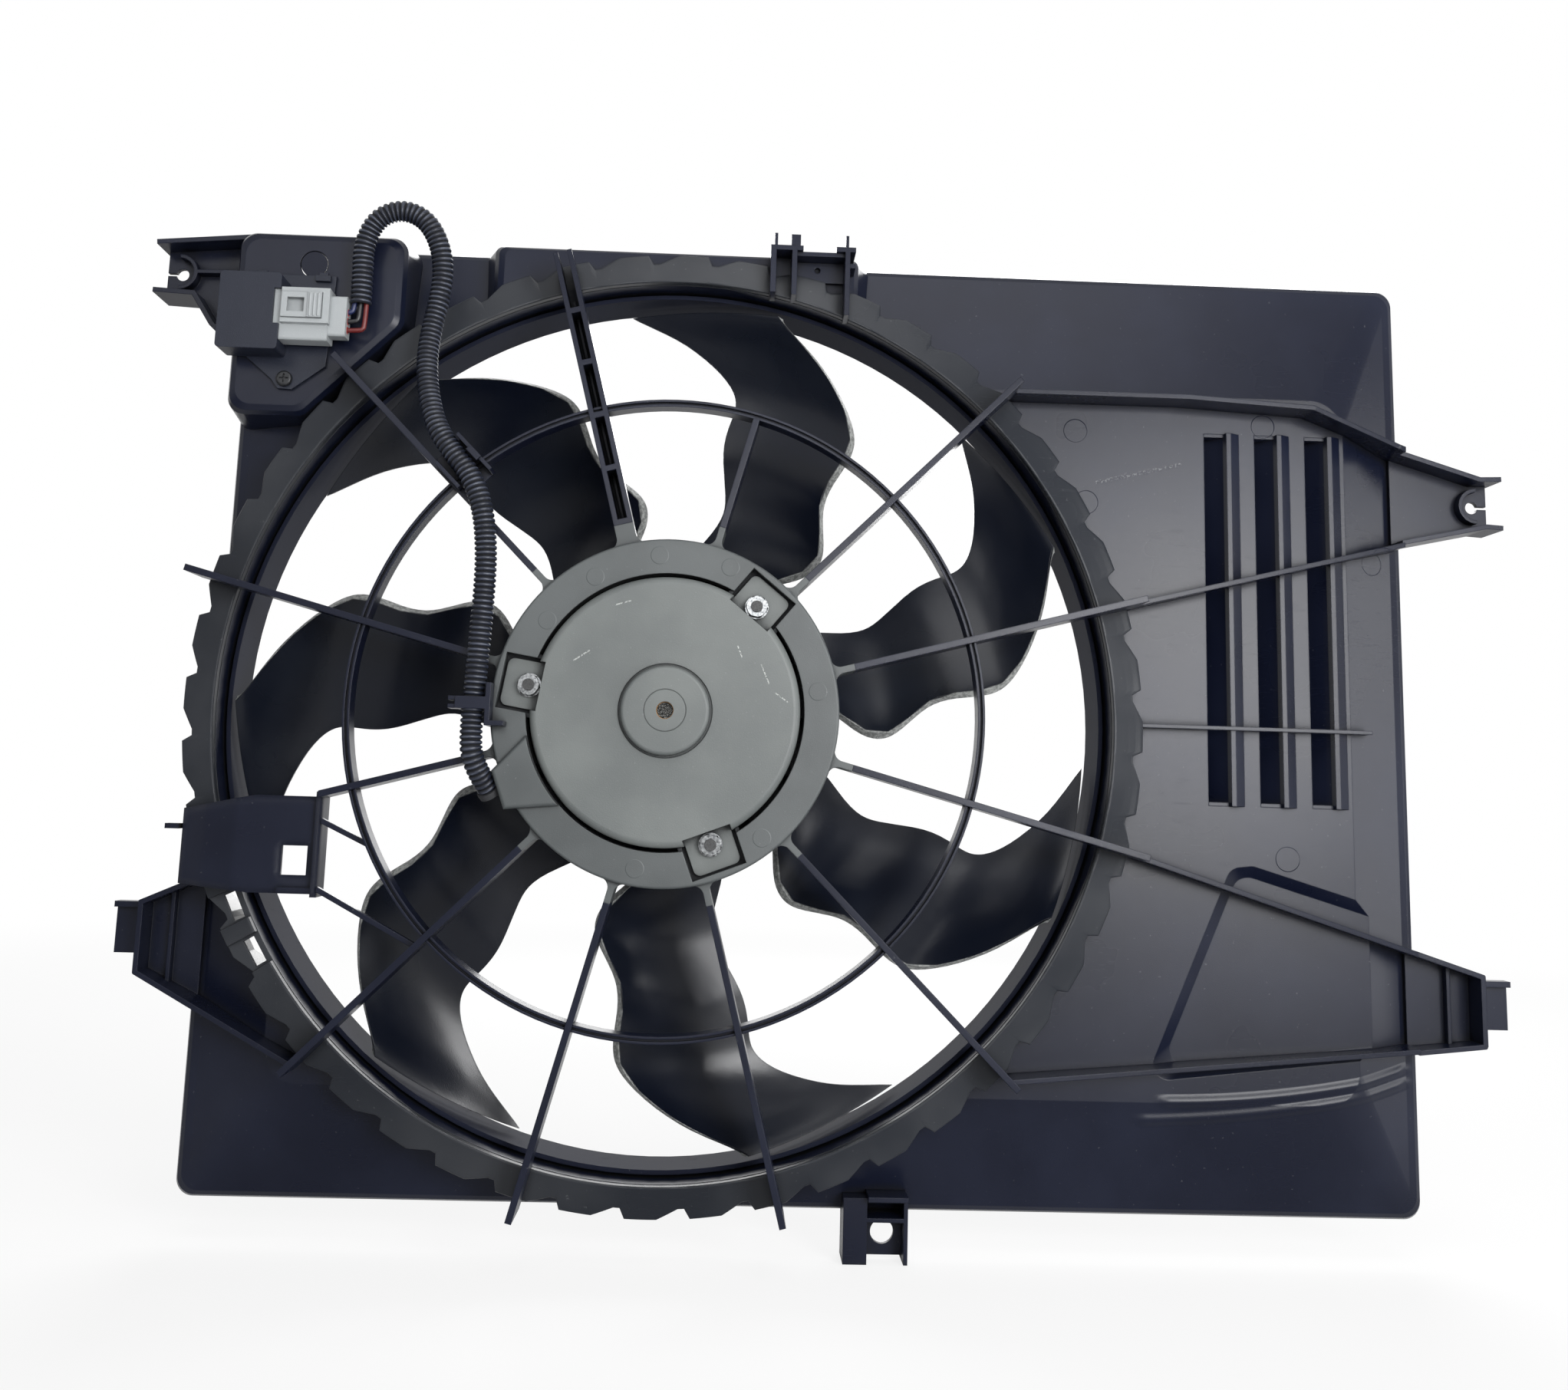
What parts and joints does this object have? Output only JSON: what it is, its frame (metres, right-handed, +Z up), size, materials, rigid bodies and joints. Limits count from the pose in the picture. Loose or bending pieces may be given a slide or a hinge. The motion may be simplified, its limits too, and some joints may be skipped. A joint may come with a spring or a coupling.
{
  "type": "radiator fan",
  "caption": "Electric radiator fan: moulded shroud panel with saw-toothed fan ring, wind louvres, spoked motor carrier, S-bladed impeller, plug and ribbed lead.",
  "frame": {"origin": "where the fan's axis meets the plane of the shroud's radiator face", "axes": "+X to the right as seen from the engine, +Y from the engine towards the radiator along the fan's axis, +Z up"},
  "size_m": [0.7442, 0.0945, 0.5434],
  "materials": {
    "shroud_plastic": "satin moulded black plastic",
    "impeller_plastic": "smooth moulded black plastic",
    "cover_enamel": "matt dark grey enamel",
    "plated_steel": "bright zinc plate",
    "shaft_steel": "ground steel",
    "laminated_steel": "stacked sheet",
    "bush_bronze": "sintered bronze",
    "copper": "enamelled copper",
    "ferrite": "sintered ferrite",
    "carbon": "pressed carbon",
    "brush_resin": "phenolic sheet",
    "module_plastic": "matt moulded black plastic",
    "screw_steel": "black zinc",
    "resistor_ceramic": "glazed ceramic",
    "plug_plastic": "moulded grey plastic",
    "wire_insulation": "soft extruded insulation",
    "conduit_plastic": "ribbed conduit plastic",
    "boot_rubber": "moulded rubber"
  },
  "bodies": {
    "shroud": {"arm_channel": "shroud_plastic", "bottom_bracket": "shroud_plastic", "brush_plate": "brush_resin", "brush_springs": "shaft_steel", "carbon_brushes": "carbon", "carrier_clip": "shroud_plastic", "carrier_studs": "plated_steel", "conduit": "conduit_plastic", "ear_nuts": "plated_steel", "fan_ring": "shroud_plastic", "field_magnets": "ferrite", "front_bush": "bush_bronze", "ladder_arm": "shroud_plastic", "lead_cover": "shroud_plastic", "lead_grommet": "boot_rubber", "louvre_vanes": "shroud_plastic", "lower_left_tab": "shroud_plastic", "lower_right_tab": "shroud_plastic", "mid_ring": "shroud_plastic", "module_clips": "module_plastic", "module_plate": "module_plastic", "module_screw": "screw_steel", "module_socket": "module_plastic", "motor_carrier": "shroud_plastic", "motor_cover": "cover_enamel", "motor_yoke": "cover_enamel", "panel_ribs": "shroud_plastic", "plug_body": "plug_plastic", "plug_wires": "wire_insulation", "rear_bush": "bush_bronze", "shroud_panel": "shroud_plastic", "speed_resistor": "resistor_ceramic", "stator_arms": "shroud_plastic", "strap_bracket": "shroud_plastic", "strap_struts": "shroud_plastic", "top_bracket": "shroud_plastic", "upper_left_tab": "shroud_plastic", "upper_right_tab": "shroud_plastic", "wire_seals": "wire_insulation"},
    "rotor": {"impeller": "impeller_plastic", "hub_insert": "plated_steel", "hub_washer": "plated_steel", "hub_nut": "plated_steel", "rotor_shaft": "shaft_steel", "armature_core": "laminated_steel", "armature_windings": "copper", "commutator": "copper", "thrust_rings": "brush_resin"},
    "latch": {"plug_latch": "plug_plastic"}
  },
  "joints": [
    {"name": "rotor_spin", "type": "hinge", "parent": "shroud", "child": "rotor", "pos_m": [0, -0.05, 0], "axis": [0, -1, 0], "continuous": true},
    {"name": "latch_press", "type": "hinge", "parent": "shroud", "child": "latch", "pos_m": [-0.1889, -0.0705, 0.207], "axis": [0, 0, -1], "range_deg": [0, 5], "stiffness_Nm_per_rad": 0.05}
  ]
}
